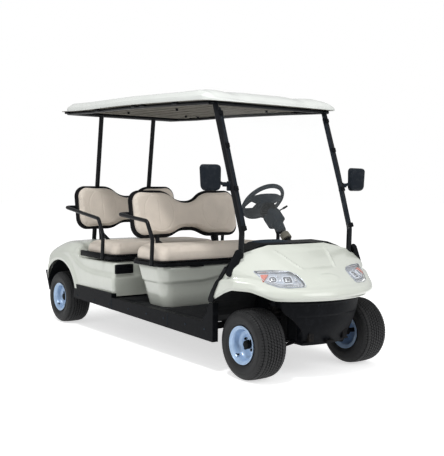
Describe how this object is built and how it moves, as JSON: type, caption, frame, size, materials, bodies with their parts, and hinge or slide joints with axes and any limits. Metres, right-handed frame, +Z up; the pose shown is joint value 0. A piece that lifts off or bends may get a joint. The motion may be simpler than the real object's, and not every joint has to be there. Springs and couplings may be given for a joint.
{
  "type": "golf cart",
  "caption": "Open four-seat electric golf cart with a crowned roof, two forward bench seats, clear front screen, steered front wheels and lifting seat lids.",
  "frame": {"origin": "on the ground, midway between the axles and on the middle plane, which is the middle of the footprint", "axes": "+X forward, +Y to the cart's left, +Z up"},
  "size_m": [3.3103, 1.52, 1.9647],
  "materials": {
    "body_panel": "glossy moulded panel, ivory",
    "roof_panel": "glossy moulded roof, ivory",
    "roof_lining": "smooth beige underside",
    "seat_vinyl": "smooth beige vinyl",
    "black_plastic": "satin black moulding",
    "black_tube": "semi-gloss black powder coat",
    "chassis_paint": "matt black chassis paint",
    "floor_mat": "ribbed black rubber",
    "grip_rubber": "soft black grip",
    "wheel_paint": "silver-white painted steel",
    "tyre": "black tyre rubber",
    "clear_screen": "clear polycarbonate",
    "lamp_lens": "clear lamp lens over bright reflector",
    "tail_lens": "red moulded lamp lens",
    "battery_case": "black battery cases",
    "motor_casting": "cast motor housing"
  },
  "bodies": {
    "root": {"chassis_frame": "chassis_paint", "floor_pan": "floor_mat", "side_sills": "black_plastic", "toe_board": "floor_mat", "front_cowl": "body_panel", "headlights": "lamp_lens", "cowl_edge_trims": "black_plastic", "front_bumper": "black_plastic", "dashboard": "black_plastic", "front_seat_box": "body_panel", "battery_pack": "battery_case", "rear_body": "body_panel", "rear_bumper": "black_plastic", "tail_lamps": "tail_lens", "rear_axle": "chassis_paint", "drive_motor": "motor_casting", "rear_springs": "chassis_paint", "front_suspension": "chassis_paint", "front_seat_frame": "black_tube", "front_armrests": "black_tube", "front_backrest": "seat_vinyl", "front_back_shell": "black_plastic", "rear_seat_frame": "black_tube", "rear_armrests": "black_tube", "rear_backrest": "seat_vinyl", "rear_back_shell": "black_plastic", "roof": "roof_panel", "roof_liner": "roof_lining", "roof_frame": "black_tube", "front_pillars": "black_tube", "windshield": "clear_screen", "mirrors": "black_plastic", "steering_column": "black_plastic", "pedals": "black_plastic"},
    "front_lid": {"front_seat_tray": "black_plastic", "front_cushion": "seat_vinyl"},
    "rear_lid": {"rear_seat_tray": "black_plastic", "rear_cushion": "seat_vinyl"},
    "steering_wheel": {"steering_wheel": "grip_rubber"},
    "tie_rod": {"tie_rod": "chassis_paint"},
    "knuckle_left": {"knuckle_left": "chassis_paint"},
    "knuckle_right": {"knuckle_right": "chassis_paint"},
    "wheel_front_left": {"rim_front_left": "wheel_paint", "tyre_front_left": "tyre"},
    "wheel_front_right": {"rim_front_right": "wheel_paint", "tyre_front_right": "tyre"},
    "wheel_rear_left": {"rim_rear_left": "wheel_paint", "tyre_rear_left": "tyre"},
    "wheel_rear_right": {"rim_rear_right": "wheel_paint", "tyre_rear_right": "tyre"}
  },
  "joints": [
    {"name": "wheel_front_left_spin", "type": "hinge", "parent": "knuckle_left", "child": "wheel_front_left", "pos_m": [1.31, 0.455, 0.2285], "axis": [0, 1, 0], "continuous": true},
    {"name": "wheel_front_right_spin", "type": "hinge", "parent": "knuckle_right", "child": "wheel_front_right", "pos_m": [1.31, -0.455, 0.2285], "axis": [0, 1, 0], "continuous": true},
    {"name": "wheel_rear_left_spin", "type": "hinge", "parent": "root", "child": "wheel_rear_left", "pos_m": [-1.31, 0.489, 0.2285], "axis": [0, 1, 0], "continuous": true},
    {"name": "wheel_rear_right_spin", "type": "hinge", "parent": "root", "child": "wheel_rear_right", "pos_m": [-1.31, -0.489, 0.2285], "axis": [0, 1, 0], "continuous": true},
    {"name": "steering_wheel_turn", "type": "hinge", "parent": "root", "child": "steering_wheel", "pos_m": [0.505, 0.27, 1.117], "axis": [-0.7337, 0, 0.6794], "range_deg": [-420, 420]},
    {"name": "knuckle_left_steer", "type": "hinge", "parent": "root", "child": "knuckle_left", "pos_m": [1.31, 0.33, 0.2285], "axis": [0, 0, 1], "range_deg": [-30, 30]},
    {"name": "knuckle_right_steer", "type": "hinge", "parent": "root", "child": "knuckle_right", "pos_m": [1.31, -0.33, 0.2285], "axis": [0, 0, 1], "range_deg": [-30, 30]},
    {"name": "tie_rod_travel", "type": "slide", "parent": "root", "child": "tie_rod", "axis": [0, 1, 0], "range_m": [-0.054, 0.054]},
    {"name": "front_lid_open", "type": "hinge", "parent": "root", "child": "front_lid", "pos_m": [-0.064, 0, 0.764], "axis": [0, -1, 0], "range_deg": [0, 75]},
    {"name": "rear_lid_open", "type": "hinge", "parent": "root", "child": "rear_lid", "pos_m": [-0.939, 0, 0.738], "axis": [0, -1, 0], "range_deg": [0, 75]}
  ],
  "couplings": [
    {"joint": "knuckle_left_steer", "follows": "steering_wheel_turn", "ratio": 0.071429},
    {"joint": "knuckle_right_steer", "follows": "steering_wheel_turn", "ratio": 0.071429},
    {"joint": "tie_rod_travel", "follows": "steering_wheel_turn", "m_per_rad": -0.0073666}
  ]
}
